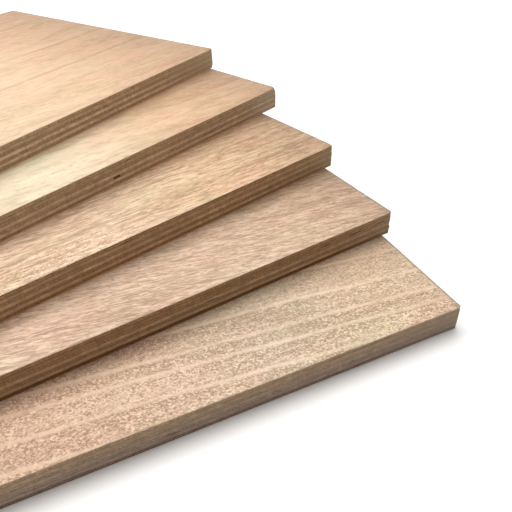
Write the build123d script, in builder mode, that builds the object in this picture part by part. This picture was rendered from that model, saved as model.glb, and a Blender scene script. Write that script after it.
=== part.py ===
from build123d import *
import os

# A fan of plywood sheets, lying flat one on the other.
# Origin at the centre of the bottom sheet's underside, +X along its length, +Z up.
# Sheet 1 is at the bottom. Its near edge is the long edge at -Y, its outer end the short one at +X.

# Sheet outline
sheet_length = 400
sheet_width = 200
corner_radius = 1.0
arris_size = 0.2

# Veneers: thin outer faces, crossbands with the grain across the sheet, long plies along it
outer_veneer_thickness = 0.45
crossband_thickness = 1.3
long_ply_thickness = 1.8
lay_up = [
    ("back_veneer", outer_veneer_thickness),
    ("crossband_1", crossband_thickness),
    ("long_ply_1", long_ply_thickness),
    ("crossband_2", crossband_thickness),
    ("long_ply_2", long_ply_thickness),
    ("crossband_3", crossband_thickness),
    ("long_ply_3", long_ply_thickness),
    ("crossband_4", crossband_thickness),
    ("face_veneer", outer_veneer_thickness),
]
sheet_thickness = sum(thickness for ply_name, thickness in lay_up)

# The fan turns about one point near the sheets' inner end
pivot_from_inner_end = 4.4
pivot_from_near_edge = 76.6
pivot_x = -sheet_length / 2 + pivot_from_inner_end
pivot_y = -sheet_width / 2 + pivot_from_near_edge

# Each sheet's turn in degrees, and how far its pivot has slipped along X and Y, from the bottom up
fan = [
    (0, 0, 0),
    (7.3, -2.0, 5.0),
    (15.4, -3.2, -0.1),
    (23.7, 1.9, 1.6),
    (31.3, -2.0, 1.8),
]

# Core gaps, where two strips of a crossband don't meet: (from the outer end, width)
core_gaps = {
    (4, "crossband_2"): (116, 4),
}

# Plies broken back at the outer near corner: size of the missing corner
broken_corners = {
    (2, "long_ply_2"): 1.2,
    (2, "crossband_2"): 1.8,
    (4, "face_veneer"): 2.2,
    (4, "crossband_4"): 1.7,
    (5, "back_veneer"): 2.0,
    (5, "crossband_1"): 1.5,
}

# Splinters missing from a face's near arris: (from the outer end, radius of the bite)
missing_splinters = {
    (4, "face_veneer"): (109, 0.9),
}


def sheet_plane(turn, slip_x, slip_y, height):
    """Plane at a height in a fanned sheet, centred on the sheet and lined up with it."""
    at_pivot = Plane((pivot_x + slip_x, pivot_y + slip_y, height)).rotated((0, 0, turn))
    return at_pivot.moved(Location((-pivot_x, -pivot_y, 0)))


def veneer(key, plane, thickness):
    """One ply of a sheet, with what is broken or missing from it."""
    outer_near_corner = plane.from_local_coords((sheet_length / 2, -sheet_width / 2, 0))
    with BuildPart() as ply:
        with BuildSketch(plane):
            Rectangle(sheet_length, sheet_width)
        extrude(amount=thickness)
        corners = ply.edges().filter_by(Axis.Z).sort_by_distance(outer_near_corner)
        if key in broken_corners:
            fillet(corners[1:], corner_radius)
            chamfer(corners[:1], broken_corners[key])
        else:
            fillet(corners, corner_radius)
        if key[1] == "face_veneer":
            chamfer(ply.faces().sort_by(Axis.Z)[-1].edges(), arris_size)
        if key[1] == "back_veneer":
            chamfer(ply.faces().sort_by(Axis.Z)[0].edges(), arris_size)
        if key in core_gaps:
            gap_from_end, gap_width = core_gaps[key]
            past_both_edges = 2 * sheet_width
            with BuildSketch(plane):
                with Locations((sheet_length / 2 - gap_from_end, 0)):
                    Rectangle(gap_width, past_both_edges)
            extrude(amount=thickness, mode=Mode.SUBTRACT)
        if key in missing_splinters:
            bite_from_end, bite_radius = missing_splinters[key]
            with BuildSketch(plane):
                with Locations((sheet_length / 2 - bite_from_end, -sheet_width / 2)):
                    Circle(bite_radius)
            extrude(amount=thickness, mode=Mode.SUBTRACT)
    return ply


os.makedirs("parts", exist_ok=True)

for index, (turn, slip_x, slip_y) in enumerate(fan):
    sheet = index + 1
    height = index * sheet_thickness
    for ply_name, thickness in lay_up:
        plane = sheet_plane(turn, slip_x, slip_y, height)
        ply = veneer((sheet, ply_name), plane, thickness)
        ply.part.label = f"sheet_{sheet}_{ply_name}"
        export_step(ply.part, f"parts/{ply.part.label}.step")
        height += thickness
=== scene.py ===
import math

import bpy
import numpy as np
from mathutils import Matrix, Vector
from mathutils.geometry import box_fit_2d


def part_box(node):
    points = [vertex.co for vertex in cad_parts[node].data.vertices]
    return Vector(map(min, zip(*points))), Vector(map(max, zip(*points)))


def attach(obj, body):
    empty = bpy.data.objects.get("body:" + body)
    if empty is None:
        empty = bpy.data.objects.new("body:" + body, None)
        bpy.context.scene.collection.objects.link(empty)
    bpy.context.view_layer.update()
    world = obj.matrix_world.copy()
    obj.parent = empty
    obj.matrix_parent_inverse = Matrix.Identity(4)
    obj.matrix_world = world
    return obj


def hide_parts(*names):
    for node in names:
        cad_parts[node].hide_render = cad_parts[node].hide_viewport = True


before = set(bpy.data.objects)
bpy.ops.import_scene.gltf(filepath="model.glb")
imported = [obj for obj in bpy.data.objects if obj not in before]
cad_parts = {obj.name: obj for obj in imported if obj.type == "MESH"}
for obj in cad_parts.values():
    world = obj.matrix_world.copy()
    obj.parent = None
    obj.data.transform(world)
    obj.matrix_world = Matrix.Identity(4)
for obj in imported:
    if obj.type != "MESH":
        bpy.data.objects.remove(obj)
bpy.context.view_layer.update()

# Five fanned plywood sheets. Each ply is a piece of its own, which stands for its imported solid.
# Places in a sheet are in mm: x from its centre to its outer end, y from its centre away from its
# near edge. The materials count y from the near edge and z from the sheet's underside.

MM = 0.001  # the scene is in metres
SHEETS = (1, 2, 3, 4, 5)  # from the bottom up
PLIES = (  # from the bottom up
    "back_veneer", "crossband_1", "long_ply_1", "crossband_2", "long_ply_2",
    "crossband_3", "long_ply_3", "crossband_4", "face_veneer",
)

# Shape of a ply

STEP = 1.2  # spacing of the points along its sides
CORNER_RADIUS = 1.0
GAP_CORNER_RADIUS = 0.15  # beside a core gap
CORNER_POINTS = 7
SKIN = 0.015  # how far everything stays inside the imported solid
VENEER_INSETS = (1.3, 2.4)  # loops on an outer face, in from the arris
# Rows of points on an edge: (height as a fraction of the ply's thickness, set back in mm).
# Glue lines are set back a little. An outer veneer's rows run from its glue line to its arris.
EDGE_ROWS = {
    "crossband": ((0, 0.05), (0.14, 0), (0.38, 0), (0.62, 0), (0.86, 0), (1, 0.05)),
    "long_ply": ((0, 0.05), (0.12, 0), (0.31, 0), (0.5, 0), (0.69, 0), (0.88, 0), (1, 0.05)),
    "face_veneer": ((0, 0.03), (0.3, 0), (0.56, 0.01), (0.76, 0.04), (0.9, 0.1), (1, 0.2)),
    "back_veneer": ((1, 0.03), (0.7, 0), (0.44, 0.01), (0.24, 0.03), (0.1, 0.07), (0, 0.14)),
}

# Saw marks, wavering glue lines and worn corners

SAW_ROUGHNESS = {"crossband": 0.085, "long_ply": 0.045, "face_veneer": 0.03, "back_veneer": 0.03}
SAW_MARKS = ((1.9, 0, 1), (11, 7, 0.6))  # layers of noise: wavelength, shift of the seed, share
SAW_LEVELS = 5  # how many rows of saw marks there are to a mm of height
GLUE_WAVES = ((47, 0, 0.7), (9, 50, 0.3))  # layers of noise: wavelength, shift of the seed, share
GLUE_WANDER = 0.1  # how far a glue line wanders up and down
OUTER_GLUE_SHARE = 0.35  # how much of that the two outermost glue lines do
CORNER_WEAR = 0.2  # how far the upright corners are worn back
TIP_WEAR = 0.75  # how much further they are worn at their upper and lower tips
TIP_HEIGHT = 1.3  # how far down or up from the tip that wear fades
WEAR_CHANGE = 0.3  # how much the wear changes up a corner
WEAR_WAVE = 6  # wavelength of that change, in levels of saw marks

# Damage

# Plies broken back at the outer near corner of a sheet: size of the missing corner
BROKEN_CORNERS = {
    (2, "long_ply_2"): 1.2,
    (2, "crossband_2"): 1.8,
    (4, "face_veneer"): 2.2,
    (4, "crossband_4"): 1.7,
    (5, "back_veneer"): 2.0,
    (5, "crossband_1"): 1.5,
}
# Where two strips of a crossband don't meet: (from the outer end, width)
CORE_GAPS = {(4, "crossband_2"): (116, 4)}
# Dark slits at glue lines of the near edge: (height in the sheet, from the outer end, to, depth)
SLITS = {
    1: [(9.95, 34, 62, 0.25), (3.6, 120, 127, 0.3)],
    2: [(8.1, 18, 27, 0.5), (8.1, 36, 41.5, 0.4), (8.1, 4, 10, 0.35), (5.0, 92, 99, 0.3)],
    3: [(6.6, 64, 72, 0.35), (9.9, 118, 126, 0.35)],
    4: [(9.8, 106.5, 110.5, 0.45), (3.6, 52, 60, 0.35)],
    5: [(6.6, 41, 48, 0.35)],
}
SLIT_REACH = 0.17  # how far above and below its height a slit moves points
SLIT_TAPER = 1.5  # length over which a slit's ends run out
# Chips out of the near arris: (from the outer end, half length, depth)
CHIPS = {
    1: [(131, 1.5, 0.45), (58, 1.1, 0.25), (12.5, 1.0, 0.3)],
    2: [(149, 5.5, 0.35), (123, 2.4, 0.4), (77, 1.2, 0.3), (33, 1.1, 0.25)],
    3: [(96, 1.3, 0.3), (21, 1.1, 0.25), (158, 1.6, 0.3)],
    4: [(109, 1.5, 0.8), (44, 1.1, 0.25), (139, 1.3, 0.3)],
    5: [(74, 1.3, 0.3), (18, 1.1, 0.25)],
}
CHIP_ROUNDNESS = 0.6  # 1 is a chip with straight sides, less is rounder
CHIP_FOOT, CHIP_HEAD = 0.2, 0.7  # between these fractions of the veneer a chip gets its depth
NEAR_SIDE = 3  # how far in from the near edge slits and chips take in points
# Scattered chips: (wavelength, shift of the seed, depth, how rare from 0 to 1)
FACE_CHIPS = ((2.2, 5, 0.3, 0.72), (5.1, 9, 0.22, 0.6))
BACK_CHIPS = (3.1, 0, 0.18, 0.75)

# Areas of the map that the materials are kept in: (left, foot, width, height)

FACE_AREA = (0.005, 0.005, 0.99, 0.845)
UNDER_VENEER_AREA = (0.02, 0.975, 0.1, 0.02)
PLY_TOP_AREA = (0.02, 0.9, 0.2, 0.09)
PLY_UNDERSIDE_AREA = (0.3, 0.9, 0.2, 0.09)
# An edge is cut into rows, which lie one over the other in a band of the map
VENEER_EDGE_BAND = (0.86, 0.97)
PLY_EDGE_BAND = (0.0, 0.88)
MAP_ROWS = 12
ROW_MARGIN, ROW_SPAN = 0.01, 1.04  # free length before a row, and the map's width in row lengths
ROW_FOOT, ROW_HEIGHT = 0.12, 0.76  # where a row starts in its share of the band, and its height

# Sheets, as packed


def sheet_of(number):
    """Centre, turn, length, width, underside and thickness of a packed sheet, in mm and radians."""
    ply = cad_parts[f"sheet_{number}_long_ply_1"]
    points = np.array([tuple(v.co) for v in ply.data.vertices]) / MM
    fitted = -box_fit_2d([Vector(point[:2]) for point in points])
    # The fit may be quarter turns off: the sheet's length has to run towards +X
    for quarter in (0, 90, 180, 270):
        turn = fitted + math.radians(quarter)
        along = points[:, 0] * math.cos(turn) + points[:, 1] * math.sin(turn)
        across = points[:, 1] * math.cos(turn) - points[:, 0] * math.sin(turn)
        if np.ptp(along) > np.ptp(across) and math.cos(turn) > 0:
            break
    mid_along = (along.max() + along.min()) / 2
    mid_across = (across.max() + across.min()) / 2
    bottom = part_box(f"sheet_{number}_back_veneer")[0][2] / MM
    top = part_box(f"sheet_{number}_face_veneer")[1][2] / MM
    return {
        "number": number,
        "turn": turn,
        "x": mid_along * math.cos(turn) - mid_across * math.sin(turn),
        "y": mid_along * math.sin(turn) + mid_across * math.cos(turn),
        "length": np.ptp(along),
        "width": np.ptp(across),
        "bottom": bottom,
        "thickness": top - bottom,
    }


def kind_of(ply):
    """A ply's name without its number."""
    return ply.rstrip("_1234")


# Noise for the meshes


def hashed(cells, seed):
    """A repeatable number from 0 to 1 for each whole-numbered cell."""
    mixed = (cells.astype(np.int64) * 73856093 + seed * 19349663 + 8191) & 0xFFFFFF
    mixed = (mixed ^ (mixed >> 11)) * 2654435761 & 0xFFFFFFFF
    mixed = (mixed ^ (mixed >> 13)) * 1274126177 & 0xFFFFFFFF
    return (mixed ^ (mixed >> 16)) / 0xFFFFFFFF


def wander(distance, wavelength, seed):
    """Smooth noise from -1 to 1 along a line."""
    place = np.asarray(distance, float) / wavelength
    cell = np.floor(place)
    part = place - cell
    part = part * part * (3 - 2 * part)
    low, high = hashed(cell, seed), hashed(cell + 1, seed)
    return 2 * (low + (high - low) * part) - 1


# Outlines


def outline(x_range, y_range, corners):
    """Points round a ply from its outer near corner, anticlockwise: x, y and outward normal.

    corners gives each corner's size and whether it is broken off straight, in the order
    outer near, outer far, inner far, inner near.
    """
    (x0, x1), (y0, y1) = x_range, y_range
    places = ((x1, y0, -90), (x1, y1, 0), (x0, y1, 90), (x0, y0, 180))
    round_corners = []
    for (x, y, start), (size, broken) in zip(places, corners):
        # The centre of the corner's arc lies one radius in from both sides
        centre_x = x - size if x == x1 else x + size
        centre_y = y - size if y == y1 else y + size
        for i in range(CORNER_POINTS):
            angle = math.radians(start + 90 * i / (CORNER_POINTS - 1))
            cos, sin = math.cos(angle), math.sin(angle)
            reach = size / (abs(cos) + abs(sin)) if broken else size
            round_corners.append((centre_x + reach * cos, centre_y + reach * sin, cos, sin))
    points = []
    for here, there in zip(round_corners, round_corners[1:] + round_corners[:1]):
        points.append(here)
        run_x, run_y = there[0] - here[0], there[1] - here[1]
        count = int(math.hypot(run_x, run_y) / STEP)
        for i in range(1, count):
            part = i / count
            points.append((here[0] + run_x * part, here[1] + run_y * part, here[2], here[3]))
    return np.array(points)


def outlines(sheet, ply):
    """The outlines of a ply: two where its strips don't meet, otherwise one."""
    key = (sheet["number"], ply)
    half_length, half_width = sheet["length"] / 2, sheet["width"] / 2
    y_range = (-half_width, half_width)
    corners = [(CORNER_RADIUS, False)] * 4
    if key in BROKEN_CORNERS:
        corners[0] = (BROKEN_CORNERS[key], True)
    if key not in CORE_GAPS:
        return [outline((-half_length, half_length), y_range, corners)]
    from_end, width = CORE_GAPS[key]
    gap = half_length - from_end
    square = (GAP_CORNER_RADIUS, False)
    outer_corners = [corners[0], corners[1], square, square]
    inner_corners = [square, square, corners[2], corners[3]]
    return [
        outline((gap + width / 2, half_length), y_range, outer_corners),
        outline((-half_length, gap - width / 2), y_range, inner_corners),
    ]


def steps_round(ring):
    """Length of the step from each point of an outline to the next."""
    return np.hypot(*np.diff(ring[:, :2], axis=0, append=ring[:1, :2]).T)


def distance_round(ring):
    """How far round its outline each point lies."""
    return np.concatenate(([0], np.cumsum(steps_round(ring))[:-1]))


def near_side(sheet, ring):
    """Which points lie on the near side, and how far each point lies from the outer end."""
    return ring[:, 1] < -sheet["width"] / 2 + NEAR_SIDE, sheet["length"] / 2 - ring[:, 0]


# Edges


def wear(sheet, ring, heights, kind):
    """How far saw marks, worn corners and slits set an edge back: array of point x row."""
    number = sheet["number"]
    distance = distance_round(ring)
    corner = np.abs(2 * ring[:, 2] * ring[:, 3])  # 1 in the middle of an upright corner, 0 beside it
    depth = np.full(heights.shape, SKIN)
    for row in range(heights.shape[1]):
        level = int(round(heights[:, row].mean() * SAW_LEVELS))
        for wavelength, shift, share in SAW_MARKS:
            marks = wander(distance, wavelength, number * 1000 + level + shift)
            depth[:, row] += SAW_ROUGHNESS[kind] * share * (0.5 + 0.5 * marks)
        from_tip = np.minimum(heights[:, row], sheet["thickness"] - heights[:, row])
        corner_wear = CORNER_WEAR + TIP_WEAR * np.exp(-np.maximum(from_tip, 0) / TIP_HEIGHT)
        change = 1 - WEAR_CHANGE + WEAR_CHANGE * wander([level], WEAR_WAVE, number * 71)[0]
        depth[:, row] += corner_wear * corner * change
    near, from_end = near_side(sheet, ring)
    for height, start, end, cut in SLITS[number]:
        taper = np.clip(np.minimum(from_end - start, end - from_end) / SLIT_TAPER, 0, 1)
        close = np.abs(heights - height) < SLIT_REACH
        depth += np.where(near[:, None] & close, (cut * taper)[:, None], 0)
    return depth


def scattered_chips(distance, wavelength, seed, cut, rare):
    """Depth of chips strewn along an arris."""
    return cut * np.clip((wander(distance, wavelength, seed) - rare) / (1 - rare), 0, 1)


def face_chips(sheet, ring):
    """Depth of the chips out of a face's arris: the sheet's own ones, and scattered ones."""
    near, from_end = near_side(sheet, ring)
    depth = np.zeros(len(ring))
    for place, half_length, cut in CHIPS[sheet["number"]]:
        hit = np.clip(1 - np.abs(from_end - place) / half_length, 0, 1) ** CHIP_ROUNDNESS
        depth = np.maximum(depth, np.where(near, hit * cut, 0))
    for wavelength, shift, cut, rare in FACE_CHIPS:
        seed = sheet["number"] * 31 + shift
        depth = np.maximum(depth, scattered_chips(distance_round(ring), wavelength, seed, cut, rare))
    return depth


def back_chips(sheet, ring):
    """Depth of the scattered chips out of a back's arris."""
    wavelength, shift, cut, rare = BACK_CHIPS
    return scattered_chips(distance_round(ring), wavelength, sheet["number"] * 57 + shift, cut, rare)


def glue_line(sheet, distance, boundary):
    """Height offset of the glue line under a ply, shared by the plies on both sides."""
    if boundary in (0, len(PLIES)):
        return np.zeros_like(distance)
    reach = GLUE_WANDER
    if boundary in (1, len(PLIES) - 1):
        reach *= OUTER_GLUE_SHARE
    seed = sheet["number"] * 100 + boundary
    return reach * sum(share * wander(distance, wave, seed + shift) for wave, shift, share in GLUE_WAVES)


def edge_rows(sheet, ply, ring):
    """Height and set-back of each row of points on a ply's edge: two arrays of point x row."""
    low, high = (corner[2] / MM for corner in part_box(f"sheet_{sheet['number']}_{ply}"))
    distance, index = distance_round(ring), PLIES.index(ply)
    bottom = low + glue_line(sheet, distance, index)
    top = high + glue_line(sheet, distance, index + 1)
    fractions, backs = np.array(EDGE_ROWS[kind_of(ply)]).T
    heights = bottom[:, None] + (top - bottom)[:, None] * fractions
    depth = wear(sheet, ring, heights - sheet["bottom"], kind_of(ply)) + backs
    if ply == "face_veneer":
        weight = np.clip((fractions - CHIP_FOOT) / (CHIP_HEAD - CHIP_FOOT), 0, 1)
        depth += face_chips(sheet, ring)[:, None] * weight
        heights[:, -1] = high - SKIN
    if ply == "back_veneer":
        depth += back_chips(sheet, ring)[:, None]
        heights[:, -1] = low + SKIN
    return heights, depth


# Ply meshes


def edge_places(start, end, foot, head, total, band):
    """Map places of a piece of edge, from start to end round the ply and from foot to head up it."""
    low, high = band
    row_length = total / MAP_ROWS
    row = min(int((start + end) / 2 / row_length), MAP_ROWS - 1)
    row_start = (row - ROW_MARGIN) * row_length
    left, right = ((place - row_start) / (ROW_SPAN * row_length) for place in (start, end))
    pitch = (high - low) / MAP_ROWS
    lower, upper = (low + pitch * (row + ROW_FOOT + ROW_HEIGHT * place) for place in (foot, head))
    return [(left, lower), (right, lower), (right, upper), (left, upper)]


def in_row_frame(sheet, points):
    """Sheet coordinates in mm to the row frame in metres."""
    points = np.array(points)
    cos, sin = math.cos(sheet["turn"]), math.sin(sheet["turn"])
    x = sheet["x"] + points[:, 0] * cos - points[:, 1] * sin
    y = sheet["y"] + points[:, 0] * sin + points[:, 1] * cos
    return np.stack((x, y, points[:, 2]), 1) * MM


class PlyMesh:
    """A ply as closed shells, each from an outline, with rough edges."""

    def __init__(self, sheet, ply):
        self.sheet, self.ply = sheet, ply
        self.veneer = kind_of(ply).endswith("veneer")
        self.points, self.faces, self.places, self.smooth = [], [], [], []
        self.set_back, self.glue = [], []
        rings = outlines(sheet, ply)
        total = sum(steps_round(ring).sum() for ring in rings)
        travelled = 0
        for ring in rings:
            self.add_shell(ring, travelled, total)
            travelled += steps_round(ring).sum()

    def add_shell(self, ring, travelled, total):
        """Adds one outline's shell, whose edge starts at travelled in the map's total length."""
        heights, depth = edge_rows(self.sheet, self.ply, ring)
        x = ring[:, 0, None] - ring[:, 2, None] * depth
        y = ring[:, 1, None] - ring[:, 3, None] * depth
        loops = [np.column_stack(loop) for loop in zip(x.T, y.T, heights.T)]
        last_edge_row = len(loops) - 1
        if self.veneer:
            for inset in VENEER_INSETS:
                inner = ring[:, :2] * (1 - inset / np.abs(ring[:, :2]).max(axis=0))
                loops.append(np.column_stack((inner, heights[:, -1])))

        count, last = len(ring), len(loops) - 1
        first = len(self.points)
        for row, loop in enumerate(loops):
            self.points.extend(loop)
            self.set_back.extend(depth[:, row] - SKIN if row <= last_edge_row else np.zeros(count))
            beside_glue = row == 0 or (row == last and not self.veneer)
            self.glue.extend([float(beside_glue)] * count)

        index = np.arange(first, len(self.points)).reshape(len(loops), count).tolist()
        distance = travelled + distance_round(ring)
        steps = steps_round(ring)
        band = VENEER_EDGE_BAND if self.veneer else PLY_EDGE_BAND
        for row in range(last):
            foot, head = row / last_edge_row, (row + 1) / last_edge_row
            for i in range(count):
                j = (i + 1) % count
                quad = [index[row][i], index[row][j], index[row + 1][j], index[row + 1][i]]
                if row < last_edge_row:
                    start, end = distance[i], distance[i] + steps[i]
                    places = edge_places(start, end, foot, head, total, band)
                else:
                    places = self.flat_places(quad, FACE_AREA)
                self.add_face(quad, places, smooth=True)

        shown, hidden = index[last], index[0][::-1]
        shown_area = FACE_AREA if self.veneer else PLY_TOP_AREA
        hidden_area = UNDER_VENEER_AREA if self.veneer else PLY_UNDERSIDE_AREA
        self.add_face(shown, self.flat_places(shown, shown_area), smooth=True)
        self.add_face(hidden, self.flat_places(hidden, hidden_area), smooth=False)

    def flat_places(self, corners, area):
        """Map places of points, spread over an area of the map as they lie in the sheet."""
        left, foot, wide, high = area
        places = []
        for k in corners:
            along = self.points[k][0] / self.sheet["length"] + 0.5
            across = self.points[k][1] / self.sheet["width"] + 0.5
            places.append((left + wide * along, foot + high * across))
        return places

    def add_face(self, corners, places, smooth):
        """Adds a face. A back veneer's rows run downwards, so its faces are turned over."""
        if self.ply == "back_veneer":
            corners, places = corners[::-1], places[::-1]
        self.faces.append(corners)
        self.places.append(places)
        self.smooth.append(smooth)

    def finish(self, name):
        """The mesh, with its map and what the materials read from its points."""
        mesh = bpy.data.meshes.new(name)
        points = in_row_frame(self.sheet, self.points)
        mesh.from_pydata([tuple(point) for point in points], [], self.faces)
        mesh.polygons.foreach_set("use_smooth", self.smooth)
        layer = mesh.uv_layers.new(name="OFBake")
        layer.data.foreach_set("uv", [v for places in self.places for place in places for v in place])
        for attribute_name, values in (("set_back", self.set_back), ("glue", self.glue)):
            attribute = mesh.attributes.new(attribute_name, "FLOAT", "POINT")
            attribute.data.foreach_set("value", values)
        mesh.validate()
        mesh.update()
        return mesh


# Shader helper


class Shader:
    """Builds the node tree of a material or world. Values may be numbers, colours or sockets."""

    def __init__(self, owner):
        owner.use_nodes = True
        self.owner = owner
        self.tree = owner.node_tree
        self.tree.nodes.clear()

    def node(self, kind, inputs=(), **settings):
        made = self.tree.nodes.new("ShaderNode" + kind)
        for name, value in settings.items():
            setattr(made, name, value)
        for key, value in dict(inputs).items():
            self.put(made.inputs[key], value)
        return made

    def put(self, socket, value):
        if isinstance(value, bpy.types.NodeSocket):
            self.tree.links.new(value, socket)
        else:
            socket.default_value = value

    def math(self, operation, *values):
        return self.node("Math", enumerate(values), operation=operation).outputs[0]

    def plus(self, first, second):
        return self.math("ADD", first, second)

    def minus(self, first, second):
        return self.math("SUBTRACT", first, second)

    def times(self, first, second):
        return self.math("MULTIPLY", first, second)

    def absolute(self, value):
        return self.math("ABSOLUTE", value)

    def remap(self, value, low, high, to_low=0.0, to_high=1.0, smooth=False):
        inputs = {0: value, 1: low, 2: high, 3: to_low, 4: to_high}
        kind = "SMOOTHSTEP" if smooth else "LINEAR"
        return self.node("MapRange", inputs, interpolation_type=kind).outputs[0]

    def swing(self, noise, low, strength):
        """Noise about zero. low is where it bottoms out, and it tops out as far from the other end."""
        return self.times(self.remap(noise, low, 1 - low, -0.5, 0.5), strength)

    def vector(self, x, y, z=0.0):
        return self.node("CombineXYZ", {0: x, 1: y, 2: z}).outputs[0]

    def noise(self, vector, detail=2.0, roughness=0.5, distortion=0.0):
        inputs = {
            "Vector": vector,
            "Scale": 1.0,
            "Detail": detail,
            "Roughness": roughness,
            "Distortion": distortion,
        }
        return self.node("TexNoise", inputs).outputs[0]

    def ramp(self, value, stops):
        """Colour from a list of (position, colour), in rising order."""
        made = self.node("ValToRGB", {0: value})
        elements = made.color_ramp.elements
        while len(elements) < len(stops):
            elements.new(1.0)
        for element, (position, colour) in zip(elements, stops):
            element.position = position
            element.color = (*colour, 1.0)
        return made.outputs[0]

    def mix(self, factor, first, second, blend="MIX", clamp=True):
        made = self.node("Mix", data_type="RGBA", blend_type=blend, clamp_result=clamp)
        self.put(made.inputs[0], factor)
        for socket, value in ((made.inputs[6], first), (made.inputs[7], second)):
            self.put(socket, value if isinstance(value, bpy.types.NodeSocket) else (*value, 1.0))
        return made.outputs[2]

    def multiply(self, first, second):
        return self.mix(1.0, first, second, "MULTIPLY")

    def seen_directly(self):
        """1 where a ray comes from the camera, off a mirror or through glass, and 0 elsewhere."""
        path = self.node("LightPath")
        seen = path.outputs["Is Camera Ray"]
        for name in ("Is Glossy Ray", "Is Transmission Ray"):
            seen = self.math("MAXIMUM", seen, path.outputs[name])
        return seen

    def sheet_place(self, sheet):
        """x, y and z in the sheet in mm: x from its middle to the outer end, y from the near edge."""
        centre = Vector((sheet["x"], sheet["y"], sheet["bottom"])) * MM
        to_near_edge = Vector((0, -sheet["width"] / 2 * MM, 0))
        inputs = {
            "Vector": self.node("TexCoord").outputs["Object"],
            "Location": centre + Matrix.Rotation(sheet["turn"], 3, "Z") @ to_near_edge,
            "Rotation": (0, 0, sheet["turn"]),
            "Scale": (MM, MM, MM),
        }
        mapping = self.node("Mapping", inputs, vector_type="TEXTURE")
        return self.node("SeparateXYZ", {0: mapping.outputs[0]}).outputs

    def finish(self, colour, roughness, height, relief, specular=0.35):
        """Ends the tree in a surface and returns the material. relief is the bumps' height in mm."""
        bump = self.node("Bump", {"Height": height, "Distance": relief * MM, "Strength": 1.0})
        inputs = {
            "Base Color": colour,
            "Roughness": roughness,
            "Specular IOR Level": specular,
            "Normal": bump.outputs[0],
        }
        surface = self.node("BsdfPrincipled", inputs)
        self.node("OutputMaterial", {"Surface": surface.outputs[0]})
        return self.owner


def stretched(s, x, y, along, across, z, **settings):
    """Noise with its own scale along and across the sheet. z may be a seed."""
    return s.noise(s.vector(s.times(x, along), s.times(y, across), z), **settings)


def turned(s, x, y, degrees):
    """x and y turned, so that +x dips towards the near edge by that many degrees."""
    cos, sin = math.cos(math.radians(degrees)), math.sin(math.radians(degrees))
    along = s.minus(s.times(x, cos), s.times(y, sin))
    across = s.plus(s.times(x, sin), s.times(y, cos))
    return along, across


def scaled(colour, factor):
    """A colour made lighter or darker, or tinted when the factor is a colour too."""
    factors = factor if isinstance(factor, tuple) else (factor,) * 3
    return tuple(f * c for f, c in zip(factors, colour))
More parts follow.
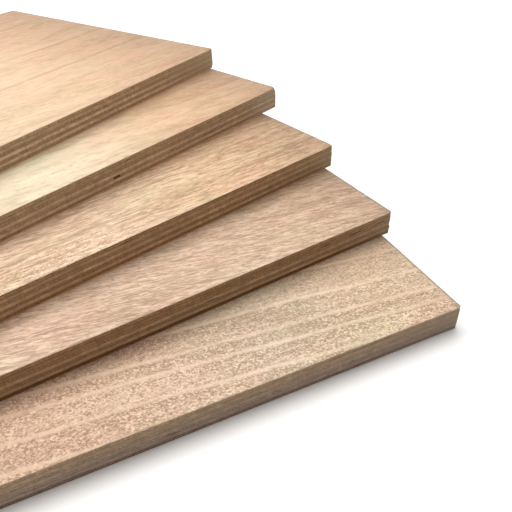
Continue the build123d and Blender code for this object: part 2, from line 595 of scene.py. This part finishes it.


# Looks of the faces

# base: colours along the sheet, with how far they lie from the outer end. Their rise from darker at the
# outer end to pale towards the inner end is partly the wood's own colour and partly a painted highlight,
# strongest on the upper sheets.
# dark, pale: what the darkest and palest grain multiplies the base by.
# slope, wobble: rise and waviness of the growth lines.
# line_*, lines: the growth lines' period and places across the sheet, their width, tone and strength.
# under_strength: how much darker the wood just under a growth line is.
# rings: centre, depth, taper, spacing and strength of the growth rings.
# fleck, dash, pore: scale along the grain, scale across it, angle and strength of each layer.
# streak, fibre, speck: how strong those are. calm_above: strength of the flecks away from the near edge.
# seed: a number of its own for the noise.
FACE_LOOKS = {
    1: {
        "base": (
            (2, (0.63, 0.47, 0.33)), (25, (0.68, 0.51, 0.355)), (75, (0.685, 0.545, 0.400)),
            (150, (0.665, 0.452, 0.322)),
        ),
        "dark": (0.60, 0.54, 0.49), "pale": (1.38, 1.48, 1.58),
        "slope": 0.116, "wobble": 2.4, "line_period": 60, "lines": (-16.4, -4.4, 6.6, 14.0, 26.4),
        "line_width": 1.5, "line_tone": (1.36, 1.43, 1.50), "line_strength": 0.72, "under_strength": 0.16,
        "rings": (150, 30, 0.116, 11, 0.12),
        "fleck": (1.0, 1.4, 26, 1.2), "dash": (0.34, 0.5, 10, 0.5), "pore": (0.16, 1.5, -4, 0.2),
        "streak": 0.15, "fibre": 0.12, "calm_above": 0.6, "speck": 0.0, "seed": 3.1,
    },
    2: {
        "base": (
            (4, (0.53, 0.37, 0.26)), (25, (0.65, 0.45, 0.315)), (67, (0.695, 0.515, 0.365)),
            (150, (0.745, 0.535, 0.395)),
        ),
        "dark": (0.66, 0.61, 0.57), "pale": (1.30, 1.38, 1.45),
        "slope": 0.05, "wobble": 3.0, "line_period": 74, "lines": (9.0, 31.0, 52.0),
        "line_width": 2.8, "line_tone": (1.11, 1.05, 1.02), "line_strength": 0.22, "under_strength": 0.05,
        "rings": (140, 30, 0.05, 12, 0.15),
        "fleck": (0.17, 1.25, 16, 1.0), "dash": (0.08, 0.55, 16, 0.42), "pore": (0.36, 2.0, 17, 0.8),
        "streak": 0.3, "fibre": 0.25, "calm_above": 0.9, "speck": 0.0, "seed": 11.7,
    },
    3: {
        "base": (
            (6, (0.56, 0.37, 0.235)), (30, (0.66, 0.44, 0.28)), (67, (0.78, 0.53, 0.338)),
            (112, (0.85, 0.638, 0.444)), (155, (0.85, 0.608, 0.426)),
        ),
        "dark": (0.62, 0.57, 0.53), "pale": (1.24, 1.36, 1.48),
        "slope": 0.012, "wobble": 1.5, "line_period": 66, "lines": (14.0, 37.0, 49.0),
        "line_width": 1.0, "line_tone": (0.66, 0.60, 0.55), "line_strength": 0.55, "under_strength": 0.05,
        "rings": (130, 25, 0.012, 9, 0.2),
        "fleck": (0.15, 0.98, 6, 0.82), "dash": (0.07, 0.40, 6, 0.5), "pore": (0.26, 1.6, 6, 0.6),
        "streak": 0.4, "fibre": 0.2, "calm_above": 0.8, "speck": 0.75, "seed": 23.9,
    },
    4: {
        "base": (
            (8, (0.55, 0.365, 0.235)), (28, (0.69, 0.455, 0.290)), (72, (0.82, 0.555, 0.36)),
            (102, (0.89, 0.68, 0.472)), (140, (0.93, 0.80, 0.58)),
        ),
        "dark": (0.78, 0.74, 0.71), "pale": (1.10, 1.18, 1.26),
        "slope": 0.03, "wobble": 2.5, "line_period": 90, "lines": (21.0, 64.0),
        "line_width": 3.0, "line_tone": (1.06, 1.07, 1.11), "line_strength": 0.3, "under_strength": 0.0,
        "rings": (110, 28, 0.05, 13, 0.25),
        "fleck": (0.15, 0.62, 16, 0.45), "dash": (0.07, 0.22, 16, 0.45), "pore": (0.34, 1.0, 16, 0.25),
        "streak": 0.2, "fibre": 0.1, "calm_above": 1.0, "speck": 0.0, "seed": 37.3,
    },
    5: {
        "base": (
            (8, (0.56, 0.375, 0.240)), (35, (0.68, 0.445, 0.285)), (70, (0.82, 0.57, 0.38)),
            (102, (0.90, 0.65, 0.44)), (145, (0.90, 0.69, 0.475)),
        ),
        "dark": (0.78, 0.73, 0.69), "pale": (1.08, 1.16, 1.24),
        "slope": 0.0, "wobble": 3.0, "line_period": 100, "lines": (59.0, 98.0),
        "line_width": 2.3, "line_tone": (0.74, 0.67, 0.65), "line_strength": 0.75, "under_strength": 0.0,
        "rings": (52, 30, 0.16, 14, 0.22),
        "fleck": (0.15, 0.66, 12, 0.5), "dash": (0.07, 0.26, 12, 0.36), "pore": (0.24, 1.1, 8, 0.3),
        "streak": 0.2, "fibre": 0.12, "calm_above": 1.0, "speck": 0.0, "seed": 51.1,
    },
}
BACK_SEED = 60  # the back veneer of a sheet has the same looks as its face, with its seed this far on
BASE_LENGTH = 200.0  # how much of the sheet the base's colours are spread over
RING_BEND = 1.6  # how far the growth rings bend, in rings
LATE_WOOD = (0.2, 0.9)  # where in a ring its late wood starts and is darkest
FAINTEST_RING = 0.3  # its strength, as a share of the strongest ring's
LINE_JITTER = 0.9  # how far a growth line is shaken across the grain
LINE_CORE = 0.15  # how much of a growth line's width has its full tone
LINE_CALM = 0.8  # how much of the flecks and pores a growth line hides
UNDER_LINE = (-6.5, -0.8)  # where the wood under a growth line starts and is darkest
UNDER_GAIN = 0.35  # how much livelier that wood is
NEAR_WOOD = (32.0, 52.0)  # the flecks change to their strength away from the near edge between these
NEAR_WOOD_WANDER = 20.0
SPECKLED_ALONG = (95.0, 70.0)  # specks come up between these, x in the sheet
SPECKLED_ACROSS = (30.0, 18.0)  # and between these, from the near edge
PORE_LEVELS = (0.60, 0.70)  # noise between these makes a pore
DRIFT_TONES = (0.985, 1.0, 0.955), (1.03, 0.975, 0.965)  # towards straw and towards pink
ARRIS_WEAR_AND_SHADE = (0.1, 0.4)  # set-backs between which an arris or chip turns darker, partly wear and partly painted shade
END_GRIME_AND_SHADE = (1.5, 0.4)  # grime and painted shade come up between these distances from an end
CORNER_SHADE_REACH = 5.0  # how far the painted shade on a corner reaches

# Noise on a face: scale along the grain, scale across it, shift of the seed, settings
FACE_NOISE = {
    "ring bend": (0.012, 0.03, 3, {"detail": 3.0}),
    "line bend": (0.018, 0.02, 17, {"detail": 1.0}),
    "line fade": (0.03, 0.06, 19, {"detail": 1.0}),
    "jitter": (0.25, 0.25, 21, {"detail": 2.0}),
    "slow": (0.012, 0.045, 0, {"detail": 3.0, "distortion": 0.4}),
    "streaks": (0.022, 0.6, 5, {"detail": 3.0, "roughness": 0.6}),
    "fibres": (0.16, 3.2, 9, {"detail": 2.0, "roughness": 0.6}),
    "coarse": (0.07, 0.13, 25, {"detail": 2.0}),
    "specks": (0.95, 0.95, 27, {"detail": 3.0, "roughness": 0.65, "distortion": 0.8}),
    "drift": (0.03, 0.07, 41, {"detail": 1.0}),
}
# The same for marks, whose scales and angle are the look's own
MARK_NOISE = {
    "fleck": (13, {"detail": 4.0, "roughness": 0.72, "distortion": 0.5}),
    "dash": (15, {"detail": 2.0, "roughness": 0.6, "distortion": 0.3}),
    "pore": (29, {"detail": 1.0}),
}


def face_noise(s, x, y, look, name):
    """A layer of the faces' noise."""
    along, across, shift, settings = FACE_NOISE[name]
    return stretched(s, x, y, along, across, look["seed"] + shift, **settings)


def mark_noise(s, x, y, look, name):
    """A turned layer of noise for short marks, and how strong the look has them."""
    along, across, angle, strength = look[name]
    shift, settings = MARK_NOISE[name]
    marks = stretched(s, *turned(s, x, y, angle), along, across, look["seed"] + shift, **settings)
    return marks, strength


def growth_rings(s, x, y, look):
    """Late wood of a flat-cut veneer's rings: nested arches along the middle, lines at the sides."""
    centre, depth, taper, spacing, strength = look["rings"]
    away = s.minus(y, centre)
    radius = s.math("SQRT", s.plus(s.times(away, away), depth ** 2))
    ring = s.math("DIVIDE", s.minus(radius, s.times(x, taper)), spacing)
    ring = s.plus(ring, s.times(face_noise(s, x, y, look, "ring bend"), RING_BEND))
    own = s.node("TexWhiteNoise", {"W": s.math("FLOOR", ring)}, noise_dimensions="1D").outputs["Value"]
    phase = s.math("FRACT", ring)
    darkening = s.remap(phase, *LATE_WOOD, smooth=True)
    late = s.times(darkening, s.remap(phase, 1.0, LATE_WOOD[1], smooth=True))
    return s.times(late, s.remap(own, 0.0, 1.0, FAINTEST_RING * strength, strength))


def growth_lines(s, x, y, look, half_length, jitter):
    """Separate lines that wander slowly and repeat with a long period, and the wood just under each."""
    bend = face_noise(s, x, y, look, "line bend")
    across = s.plus(y, s.times(s.minus(x, half_length), look["slope"]))
    across = s.plus(across, s.times(s.minus(bend, 0.5), 2 * look["wobble"]))
    across = s.plus(across, s.times(s.minus(jitter, 0.5), LINE_JITTER))
    line = under = 0.0
    period, width = look["line_period"], look["line_width"]
    for place in look["lines"]:
        above = s.math("WRAP", s.minus(across, place), period / 2, -period / 2)
        near = s.remap(s.absolute(above), LINE_CORE * width, width, 1.0, 0.0, smooth=True)
        line = s.math("MAXIMUM", line, near)
        below = s.times(s.remap(above, *UNDER_LINE), s.math("LESS_THAN", above, 0.0))
        under = s.math("MAXIMUM", under, below)
    fade = face_noise(s, x, y, look, "line fade")
    broken = s.times(s.remap(jitter, 0.3, 0.55, 0.55, 1.0), s.remap(fade, 0.35, 0.6, 0.55, 1.0))
    return s.times(s.times(line, broken), look["line_strength"]), under


def face_material(sheet, look, name):
    """Sanded face: growth rings and lines, flecks, pores, long streaks and slow changes of tone."""
    s = Shader(bpy.data.materials.new(name))
    x, y, _ = s.sheet_place(sheet)
    half_length, half_width = sheet["length"] / 2, sheet["width"] / 2

    # Slow tone changes, streaks and fibres, longer along the grain than across it
    streaks = face_noise(s, x, y, look, "streaks")
    fibres = face_noise(s, x, y, look, "fibres")
    tone = s.remap(face_noise(s, x, y, look, "slow"), 0.3, 0.7, 0.3, 0.7)
    tone = s.plus(tone, s.swing(streaks, 0.3, look["streak"]))
    tone = s.plus(tone, s.swing(fibres, 0.25, look["fibre"]))
    tone = s.minus(tone, growth_rings(s, x, y, look))

    # Growth lines have calmer wood in them, and livelier wood under them
    jitter = face_noise(s, x, y, look, "jitter")
    line, under = growth_lines(s, x, y, look, half_length, jitter)
    calm = s.minus(1.0, s.times(line, LINE_CALM))
    coarse = face_noise(s, x, y, look, "coarse")
    past_near_wood = s.plus(y, s.times(coarse, NEAR_WOOD_WANDER))
    gain = s.times(calm, s.remap(coarse, 0.3, 0.7, 0.6, 1.25))
    gain = s.times(gain, s.remap(past_near_wood, *NEAR_WOOD, 1.0, look["calm_above"]))
    gain = s.times(gain, s.plus(1.0, s.times(under, UNDER_GAIN)))

    # Flecks and dashes
    flecks, fleck_strength = mark_noise(s, x, y, look, "fleck")
    dashes, dash_strength = mark_noise(s, x, y, look, "dash")
    marks = s.plus(s.swing(flecks, 0.36, fleck_strength), s.swing(dashes, 0.33, dash_strength))
    tone = s.plus(tone, s.times(marks, gain))
    tone = s.minus(tone, s.times(under, look["under_strength"]))

    # Round specks, near the near edge and away from the outer end
    specks = s.swing(face_noise(s, x, y, look, "specks"), 0.36, look["speck"])
    past_end = s.remap(x, *SPECKLED_ALONG, smooth=True)
    speckled = s.times(past_end, s.remap(past_near_wood, *SPECKLED_ACROSS, smooth=True))
    tone = s.plus(tone, s.times(specks, speckled))

    # Open pores: short dark marks along the grain
    pores, pore_strength = mark_noise(s, x, y, look, "pore")
    pore = s.times(s.remap(pores, *PORE_LEVELS, smooth=True), calm)
    tone = s.minus(tone, s.times(pore, pore_strength))

    # Colour: what the tone and the lines do to the base, whose paling towards the inner end is partly a
    # painted highlight, and faint drifts to pink and to straw
    place = s.remap(s.minus(half_length, x), 0.0, BASE_LENGTH)
    base = s.ramp(place, [(from_end / BASE_LENGTH, colour) for from_end, colour in look["base"]])
    detail = s.ramp(tone, ((0.0, look["dark"]), (0.5, (1, 1, 1)), (1.0, look["pale"])))
    detail = s.mix(line, detail, look["line_tone"], clamp=False)
    drift = s.remap(face_noise(s, x, y, look, "drift"), 0.35, 0.65)
    drift = s.mix(drift, *DRIFT_TONES, clamp=False)
    colour = s.multiply(s.multiply(base, drift), detail)

    # Arrises and chips darker where set back, partly wear and partly painted shade; grime and painted
    # shade along the ends, and painted shade on the corners
    end_colour = look["base"][0][1]
    depth = s.node("Attribute", attribute_name="set_back").outputs["Fac"]
    colour = s.mix(s.remap(depth, *ARRIS_WEAR_AND_SHADE, 0.0, 0.6), colour, scaled(end_colour, 0.86))
    to_end = s.minus(half_length, s.absolute(x))
    to_side = s.minus(half_width, s.absolute(s.minus(y, half_width)))
    corner = s.times(s.remap(to_end, CORNER_SHADE_REACH, 0.0), s.remap(to_side, CORNER_SHADE_REACH, 0.0))
    grime_and_painted_light = s.remap(to_end, *END_GRIME_AND_SHADE, 0.0, 0.75, smooth=True)
    grime_and_painted_light = s.math("MAXIMUM", grime_and_painted_light, s.times(corner, 0.8))
    colour = s.mix(grime_and_painted_light, colour, scaled(end_colour, (0.42, 0.46, 0.52)))

    # The sawn side, seen below the arris, with painted shade on the corners
    normal = s.node("NewGeometry").outputs["True Normal"]
    upright = s.absolute(s.node("SeparateXYZ", {0: normal}).outputs[2])
    side = s.mix(s.remap(streaks, 0.3, 0.7), scaled(look["sawn"], 0.8), scaled(look["sawn"], 1.2))
    side = s.mix(s.times(corner, 0.6), side, scaled(look["sawn"], 0.5))
    colour = s.mix(s.remap(upright, 0.9, 0.45, smooth=True), colour, side)

    height = s.plus(s.times(fibres, 0.35), s.times(flecks, 0.35))
    height = s.minus(height, s.times(pore, 0.5))
    height = s.plus(height, s.times(line, 0.15))
    roughness = s.remap(s.plus(flecks, fibres), 0.6, 1.4, 0.55, 0.72)
    return s.finish(colour, roughness, height, 0.06)


# Looks of the edges

# long, end, grime_and_painted_light, stain: colours of long grain, end grain, the outer end's grime with
# painted light, also the upright corners' painted shade, and stains.
# end_grime_and_light: how much that grime with painted light hides, and how far it reaches in from the
# outer end.
# stain_strength, streaks, glue: how strong the stains, the long grain's streaks and the glue lines are.
# tones: what each ply's colours are multiplied by, from the back veneer up to the face veneer. The low
# ones of the back veneer and first crossband of sheets 1 and 2 are partly painted shade where the sheet
# sits on the floor or on the sheet below; the raised ones of sheets 4 and 5 there partly paint light into
# that shade.
EDGE_LOOKS = {
    1: {
        "long": (0.415, 0.300, 0.205), "end": (0.34, 0.245, 0.165),
        "grime_and_painted_light": (0.325, 0.245, 0.175), "end_grime_and_light": (0.6, 60),
        "stain": (0.29, 0.195, 0.125), "stain_strength": 0.5, "streaks": 0.4, "glue": 0.3,
        "tones": (
            (0.46, 0.37, 0.31), (0.72, 0.70, 0.77), (0.90, 0.89, 0.98), (1.04, 1.02, 1.06), 0.96,
            (1.13, 1.08, 1.05), (1.05, 1.01, 0.95), (1.24, 1.16, 1.04), (1.0, 0.95, 0.85),
        ),
    },
    2: {
        "long": (0.46, 0.293, 0.162), "end": (0.31, 0.180, 0.090),
        "grime_and_painted_light": (0.365, 0.255, 0.155), "end_grime_and_light": (0.45, 35),
        "stain": (0.28, 0.160, 0.080), "stain_strength": 0.45, "streaks": 0.85, "glue": 0.85,
        "tones": (
            (0.29, 0.145, 0.05), (0.52, 0.37, 0.20), 0.92, 0.92, 0.96,
            1.04, (0.70, 0.64, 0.56), 1.10, (0.61, 0.555, 0.47),
        ),
    },
    3: {
        "long": (0.505, 0.320, 0.172), "end": (0.305, 0.180, 0.088),
        "grime_and_painted_light": (0.41, 0.280, 0.170), "end_grime_and_light": (0.5, 38),
        "stain": (0.30, 0.175, 0.090), "stain_strength": 0.4, "streaks": 1.0, "glue": 0.85,
        "tones": (
            (0.95, 0.78, 0.60), (0.98, 0.84, 0.66), 0.95, 0.98, 1.0,
            1.13, 0.90, 1.18, (0.38, 0.295, 0.205),
        ),
    },
    4: {
        "long": (0.63, 0.435, 0.270), "end": (0.385, 0.255, 0.145),
        "grime_and_painted_light": (0.49, 0.360, 0.245), "end_grime_and_light": (0.6, 40),
        "stain": (0.39, 0.260, 0.150), "stain_strength": 0.4, "streaks": 1.0, "glue": 0.85,
        "tones": (
            (1.08, 1.00, 0.93), (1.03, 0.90, 0.79), 0.98, 1.08, 0.93,
            1.02, (0.73, 0.72, 0.65), 1.17, (0.57, 0.55, 0.475),
        ),
    },
    5: {
        "long": (0.68, 0.475, 0.310), "end": (0.385, 0.255, 0.152),
        "grime_and_painted_light": (0.48, 0.345, 0.200), "end_grime_and_light": (0.85, 80),
        "stain": (0.42, 0.285, 0.175), "stain_strength": 0.35, "streaks": 1.0, "glue": 0.85,
        "tones": (
            (1.10, 1.02, 0.94), (1.15, 1.08, 1.00), 1.02, 1.06, 1.03,
            1.05, (0.80, 0.78, 0.74), 1.22, (0.73, 0.70, 0.67),
        ),
    },
}
# Noise in an edge: scale in the sheet's plane, scale through its thickness, share of the seed, settings
EDGE_NOISE = {
    "dots": (1.2, 1.2, 0.0, {"detail": 4.0, "roughness": 0.7}),
    "stain": (0.06, 0.3, 1.0, {"detail": 3.0}),
    "blotch": (0.24, 0.25, 0.1, {"detail": 3.0, "roughness": 0.6}),
    "saw": (0.8, 0.12, 0.0, {"detail": 3.0, "roughness": 0.6}),
}
STREAK_SCALE = (0.05, 2.6)  # along the edge and up it
STREAK_DARK, STREAK_PALE = 0.36, 0.29  # how much darker and paler the long grain's streaks are
BLOTCH_TONES = (0.78, 0.76, 0.74), (1.21, 1.23, 1.25)
SIDE_TO_END = (0.3, 0.8)  # between these, a surface turns from a side of the sheet to an end
SHADED_CORNER_TURNS = (0.05, 0.3), (0.98, 0.85)  # and between these, onto an upright corner, from either, where painted shade goes
END_GRIME_AND_LIGHT_FULL = 3  # how far from the outer end the grime and painted light are as strong as they get
SLIT_SHADE_DEPTHS = (0.2, 0.6)  # set-backs between which a slit or a deep-worn corner turns dark, with painted shade and dirt
SLIT_SHADE_COLOUR = (0.075, 0.045, 0.025)


def edge_noise(s, x, y, z, seed, name):
    """A layer of the edges' noise."""
    flat, upright, share, settings = EDGE_NOISE[name]
    return stretched(s, x, y, flat, flat, s.plus(s.times(z, upright), seed * share), **settings)


def edge_material(sheet, look, ply, tone):
    """Sawn ply edge: long grain on the sides that run with its grain, end grain on the others."""
    s = Shader(bpy.data.materials.new(f"{ply}_wood_{sheet['number']}"))
    x, y, z = s.sheet_place(sheet)
    half_length = sheet["length"] / 2
    long_grain, end_grain, stained = (scaled(look[key], tone) for key in ("long", "end", "stain"))
    seed = 7.3 * sheet["number"] + 11.9 * PLIES.index(ply)

    # How much a side faces along the sheet, from its normal
    normal = s.node("NewGeometry").outputs["True Normal"]
    axis = (math.cos(sheet["turn"]), math.sin(sheet["turn"]), 0.0)
    facing = s.node("VectorMath", {0: normal, 1: axis}, operation="DOT_PRODUCT").outputs["Value"]
    facing = s.absolute(facing)
    grain_shown = (0.0, 1.0) if kind_of(ply) == "long_ply" else (1.0, 0.0)
    endwise = s.remap(facing, *SIDE_TO_END, *grain_shown)

    # Long grain has thin streaks, end grain has open vessels as fine dots. Both have blotches, stains
    # and saw marks
    streak = stretched(s, s.plus(x, y), z, *STREAK_SCALE, seed, detail=4.0, roughness=0.7)
    dots, stain, blotch, saw = (edge_noise(s, x, y, z, seed, name) for name in EDGE_NOISE)
    dark, pale = (1 - STREAK_DARK * look["streaks"], 1 + STREAK_PALE * look["streaks"])
    long_colour = s.mix(s.remap(streak, 0.3, 0.7), scaled(long_grain, dark), scaled(long_grain, pale))
    end_colour = s.mix(s.remap(dots, 0.36, 0.64), scaled(end_grain, 0.54), scaled(end_grain, 1.35))
    colour = s.mix(endwise, long_colour, end_colour)
    colour = s.multiply(colour, s.mix(s.remap(blotch, 0.32, 0.68), *BLOTCH_TONES, clamp=False))
    colour = s.mix(s.remap(stain, 0.4, 0.7, 0.0, look["stain_strength"]), colour, stained)
    colour = s.mix(s.remap(saw, 0.42, 0.66, 0.0, 0.26), colour, scaled(end_grain, 0.6))

    # Plies lose their contrast towards the outer end under grime with painted light, and the upright
    # corners get painted shade
    strength, reach = look["end_grime_and_light"]
    inner, outer = half_length - reach, half_length - END_GRIME_AND_LIGHT_FULL
    end_grime_and_light = s.remap(x, inner, outer, 0.0, strength, smooth=True)
    end_grime_and_light = s.times(end_grime_and_light, s.remap(facing, *SIDE_TO_END, 1.0, 0.3))
    grime_and_painted_light = s.mix(s.remap(dots, 0.3, 0.7), scaled(look["grime_and_painted_light"], 0.85), scaled(look["grime_and_painted_light"], 1.15))
    colour = s.mix(end_grime_and_light, colour, grime_and_painted_light)
    from_side, from_end = SHADED_CORNER_TURNS
    corner = s.times(s.remap(facing, *from_side), s.remap(facing, *from_end))
    colour = s.mix(s.times(corner, 0.6), colour, scaled(look["grime_and_painted_light"], 0.5))

    # Glue lines are a little darker, and slits and the deep-worn tips of the upright corners are nearly
    # black with painted shade and dirt
    glue = s.node("Attribute", attribute_name="glue").outputs["Fac"]
    colour = s.mix(s.remap(glue, 0.0, 1.0, 0.0, look["glue"]), colour, scaled(end_grain, 0.5))
    depth = s.node("Attribute", attribute_name="set_back").outputs["Fac"]
    colour = s.mix(s.remap(depth, *SLIT_SHADE_DEPTHS, 0.0, 0.8), colour, SLIT_SHADE_COLOUR)

    height = s.plus(s.times(streak, 0.5), s.times(s.times(dots, endwise), 0.8))
    height = s.plus(height, s.times(saw, 0.5))
    roughness = s.remap(dots, 0.3, 0.7, 0.72, 0.9)
    return s.finish(colour, roughness, height, 0.12, specular=0.2)


# Build the pieces


def ply_material(sheet, ply):
    """The material of a ply: an outer veneer's shows its face, any other one's its edge."""
    number = sheet["number"]
    edge_look = EDGE_LOOKS[number]
    tone = edge_look["tones"][PLIES.index(ply)]
    if not ply.endswith("veneer"):
        return edge_material(sheet, edge_look, ply, tone)
    look = {**FACE_LOOKS[number], "sawn": scaled(edge_look["long"], tone)}
    if ply == "back_veneer":
        look["seed"] += BACK_SEED
    return face_material(sheet, look, f"{ply}_wood_{number}")


for number in SHEETS:
    sheet = sheet_of(number)
    for ply in PLIES:
        name = f"sheet_{number}_{ply}_wood"
        piece = bpy.data.objects.new(name, PlyMesh(sheet, ply).finish(name))
        bpy.context.scene.collection.objects.link(piece)
        piece.data.materials.append(ply_material(sheet, ply))
        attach(piece, "root")
        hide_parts(f"sheet_{number}_{ply}")

# Floor

FLOOR_SIZE = 12.0
FLOOR_DROP = 0.00005  # how far the floor lies under the lowest sheet
FLOOR_LIT = (0.86, 0.86, 0.87, 1.0)  # what the floor sends back to the object
FLOOR_SEEN = (1.2, 1.2, 1.2, 1.0)  # what the camera sees, white up to the object's shadow

reach = FLOOR_SIZE / 2
corners = [(-reach, -reach, 0), (reach, -reach, 0), (reach, reach, 0), (-reach, reach, 0)]
floor_mesh = bpy.data.meshes.new("studio_floor")
floor_mesh.from_pydata(corners, [], [(0, 1, 2, 3)])
floor = bpy.data.objects.new("studio_floor", floor_mesh)
floor.location.z = -FLOOR_DROP
bpy.context.scene.collection.objects.link(floor)

s = Shader(bpy.data.materials.new("studio_floor_white"))
lit = s.node("BsdfDiffuse", {"Color": FLOOR_LIT})
seen = s.node("BsdfDiffuse", {"Color": FLOOR_SEEN})
choice = s.node("MixShader", {0: s.seen_directly(), 1: lit.outputs[0], 2: seen.outputs[0]})
s.node("OutputMaterial", {"Surface": choice.outputs[0]})
floor.data.materials.append(s.owner)

# Light

WORLD_COLOUR = (1.0, 1.0, 1.0, 1.0)
WORLD_LIGHT = 0.07  # strength at which the world lights the object, where 1 is the white backdrop
VIEW_HEADING = 66.86  # where the camera looks, in degrees anticlockwise from +X

world = bpy.data.worlds.new("studio")
s = Shader(world)
strength = s.remap(s.seen_directly(), 0.0, 1.0, WORLD_LIGHT, 1.0)
background = s.node("Background", {"Color": WORLD_COLOUR, "Strength": strength})
s.node("OutputWorld", {"Surface": background.outputs[0]})
bpy.context.scene.world = world


def sun(name, azimuth, elevation, softness, strength, colour):
    """A soft, even lamp. azimuth is where it shines from, in degrees anticlockwise from +X."""
    data = bpy.data.lights.new(name, "SUN")
    data.energy = strength
    data.angle = math.radians(softness)
    data.color = colour
    lamp = bpy.data.objects.new(name, data)
    turn, rise = math.radians(azimuth), math.radians(elevation)
    level = math.cos(rise)
    towards = Vector((math.cos(turn) * level, math.sin(turn) * level, math.sin(rise)))
    lamp.rotation_euler = towards.to_track_quat("Z", "Y").to_euler()
    bpy.context.scene.collection.objects.link(lamp)


sun("key", VIEW_HEADING + 4, 66, softness=58, strength=2.36, colour=(1.0, 0.99, 0.97))
sun("left_back", VIEW_HEADING + 74, 38, softness=46, strength=1.0, colour=(1.0, 0.99, 0.97))
sun("front_fill", VIEW_HEADING + 185, 16, softness=58, strength=0.78, colour=(1.0, 1.0, 1.0))
sun("right_fill", -10, 20, softness=60, strength=0.25, colour=(1.0, 0.98, 0.95))

# Camera

CAMERA_PLACE = (0.06114, -0.21599, 0.16687)
CAMERA_HEADING = Vector((0.39296, 0.91956, 0))
CAMERA_PITCH = 37.83  # degrees down
CAMERA_ROLL = -2.33  # degrees anticlockwise
CAMERA_LENS, CAMERA_SENSOR = 38.94, 36  # mm

camera_data = bpy.data.cameras.new("camera")
camera_data.lens = CAMERA_LENS
camera_data.sensor_width = CAMERA_SENSOR
camera_data.clip_start = 0.01
camera = bpy.data.objects.new("camera", camera_data)
pitch, roll = math.radians(CAMERA_PITCH), math.radians(CAMERA_ROLL)
forward = CAMERA_HEADING * math.cos(pitch) - Vector((0, 0, math.sin(pitch)))
level_right = Vector((CAMERA_HEADING.y, -CAMERA_HEADING.x, 0))
level_up = CAMERA_HEADING * math.sin(pitch) + Vector((0, 0, math.cos(pitch)))
right = level_right * math.cos(roll) + level_up * math.sin(roll)
up = level_up * math.cos(roll) - level_right * math.sin(roll)
columns = Matrix((right, up, -forward)).transposed()
camera.matrix_world = Matrix.Translation(CAMERA_PLACE) @ columns.to_4x4()
bpy.context.scene.collection.objects.link(camera)
bpy.context.scene.camera = camera

bpy.context.scene.view_settings.view_transform = "Standard"
